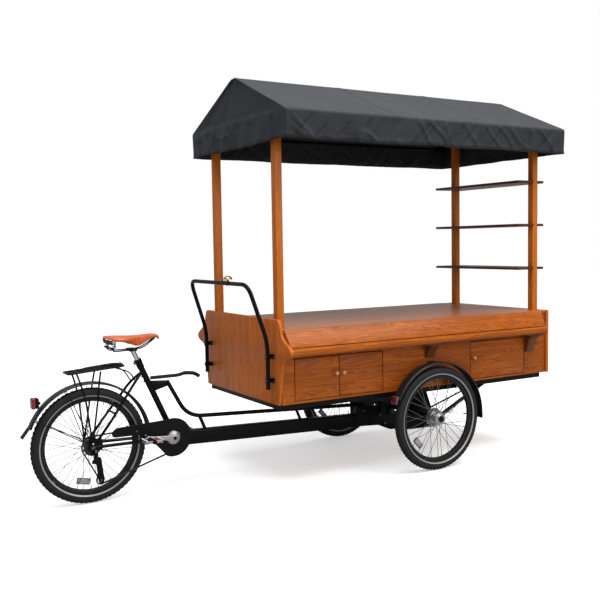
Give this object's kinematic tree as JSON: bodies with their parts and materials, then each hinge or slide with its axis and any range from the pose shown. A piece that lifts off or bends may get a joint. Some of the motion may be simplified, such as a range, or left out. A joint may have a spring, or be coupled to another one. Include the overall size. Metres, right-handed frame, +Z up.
{
  "type": "cargo tricycle",
  "caption": "Vending tricycle: wooden cabinet with hinged doors, counter, posts and a fabric gable roof on a two-wheeled steering front, ridden from a bicycle rear end.",
  "frame": {"origin": "on the ground under the centre of the whole vehicle's bounding box", "axes": "+X forwards along the vehicle, +Y to the rider's left, +Z up"},
  "size_m": [3.3066, 1.19, 2.318],
  "materials": {
    "black_paint": "gloss black enamel",
    "bright_steel": "bright steel",
    "alloy": "satin cast alloy",
    "varnished_wood": "clear gloss varnish over reddish wood",
    "dark_wood": "dark stained and varnished",
    "tyre_rubber": "matte black rubber",
    "grip_rubber": "matte black",
    "canopy_cloth": "charcoal woven cloth",
    "saddle_leather": "tan leather",
    "guard_plastic": "black satin plastic",
    "red_lens": "red translucent lens",
    "brass": "polished brass"
  },
  "bodies": {
    "rear_frame": {"main_frame": "black_paint", "seat_post": "bright_steel", "saddle_cover": "saddle_leather", "saddle_rails": "black_paint", "lift_handle": "grip_rubber", "chain_guard": "guard_plastic", "chain": "bright_steel", "derailleur": "black_paint", "rear_fender": "guard_plastic", "rear_rack": "black_paint", "tail_lamp": "red_lens"},
    "rear_wheel": {"rear_tyre": "tyre_rubber", "rear_wheel_hub": "bright_steel", "rear_sprockets": "bright_steel"},
    "crank": {"crankset": "alloy"},
    "pedal_on_right": {"pedal_right": "grip_rubber"},
    "pedal_on_left": {"pedal_left": "grip_rubber"},
    "steered_front": {"front_chassis": "black_paint", "push_bar": "black_paint", "bell": "brass", "cabinet_floor": "varnished_wood", "counter_top": "varnished_wood", "rear_end_panel": "varnished_wood", "front_end_panel": "varnished_wood", "side_panel_right": "varnished_wood", "side_panel_left": "varnished_wood", "fascia_right": "varnished_wood", "fascia_left": "varnished_wood", "canopy_frame": "varnished_wood", "canopy_cloth": "canopy_cloth", "shelf_1": "dark_wood", "shelf_2": "dark_wood", "shelf_3": "dark_wood", "front_fender_right": "guard_plastic", "front_fender_left": "guard_plastic"},
    "front_wheel_right": {"front_tyre_right": "tyre_rubber", "front_wheel_hub_right": "bright_steel"},
    "front_wheel_left": {"front_tyre_left": "tyre_rubber", "front_wheel_hub_left": "bright_steel"},
    "door_body_1_right": {"door_1_right": "varnished_wood"},
    "door_body_2_right": {"door_2_right": "varnished_wood"},
    "door_body_3_right": {"door_3_right": "varnished_wood"},
    "door_body_1_left": {"door_1_left": "varnished_wood"},
    "door_body_2_left": {"door_2_left": "varnished_wood"},
    "door_body_3_left": {"door_3_left": "varnished_wood"}
  },
  "joints": [
    {"name": "steering", "type": "hinge", "parent": "rear_frame", "child": "steered_front", "pos_m": [0.63829, 0, 0.3025], "axis": [0, 0, 1], "range_deg": [-30, 30]},
    {"name": "rear_wheel_spin", "type": "hinge", "parent": "rear_frame", "child": "rear_wheel", "pos_m": [-1.30171, 0, 0.31], "axis": [0, 1, 0], "continuous": true},
    {"name": "crank_spin", "type": "hinge", "parent": "rear_frame", "child": "crank", "pos_m": [-0.85671, 0, 0.307], "axis": [0, 1, 0], "continuous": true},
    {"name": "pedal_right_spin", "type": "hinge", "parent": "crank", "child": "pedal_on_right", "pos_m": [-1.01348, -0.158, 0.32675], "axis": [0, 1, 0], "continuous": true},
    {"name": "pedal_left_spin", "type": "hinge", "parent": "crank", "child": "pedal_on_left", "pos_m": [-0.69995, 0.158, 0.28725], "axis": [0, 1, 0], "continuous": true},
    {"name": "front_wheel_right_spin", "type": "hinge", "parent": "steered_front", "child": "front_wheel_right", "pos_m": [0.63829, -0.525, 0.31], "axis": [0, 1, 0], "continuous": true},
    {"name": "front_wheel_left_spin", "type": "hinge", "parent": "steered_front", "child": "front_wheel_left", "pos_m": [0.63829, 0.525, 0.31], "axis": [0, 1, 0], "continuous": true},
    {"name": "door_1_right_hinge", "type": "hinge", "parent": "steered_front", "child": "door_body_1_right", "pos_m": [-0.30121, -0.462, 0.62], "axis": [0, 0, -1], "range_deg": [0, 110]},
    {"name": "door_2_right_hinge", "type": "hinge", "parent": "steered_front", "child": "door_body_2_right", "pos_m": [0.28479, -0.462, 0.62], "axis": [0, 0, 1], "range_deg": [0, 90]},
    {"name": "door_3_right_hinge", "type": "hinge", "parent": "steered_front", "child": "door_body_3_right", "pos_m": [1.41479, -0.462, 0.62], "axis": [0, 0, 1], "range_deg": [0, 90]},
    {"name": "door_1_left_hinge", "type": "hinge", "parent": "steered_front", "child": "door_body_1_left", "pos_m": [-0.30121, 0.462, 0.62], "axis": [0, 0, 1], "range_deg": [0, 110]},
    {"name": "door_2_left_hinge", "type": "hinge", "parent": "steered_front", "child": "door_body_2_left", "pos_m": [0.28479, 0.462, 0.62], "axis": [0, 0, -1], "range_deg": [0, 90]},
    {"name": "door_3_left_hinge", "type": "hinge", "parent": "steered_front", "child": "door_body_3_left", "pos_m": [1.41479, 0.462, 0.62], "axis": [0, 0, -1], "range_deg": [0, 90]}
  ]
}
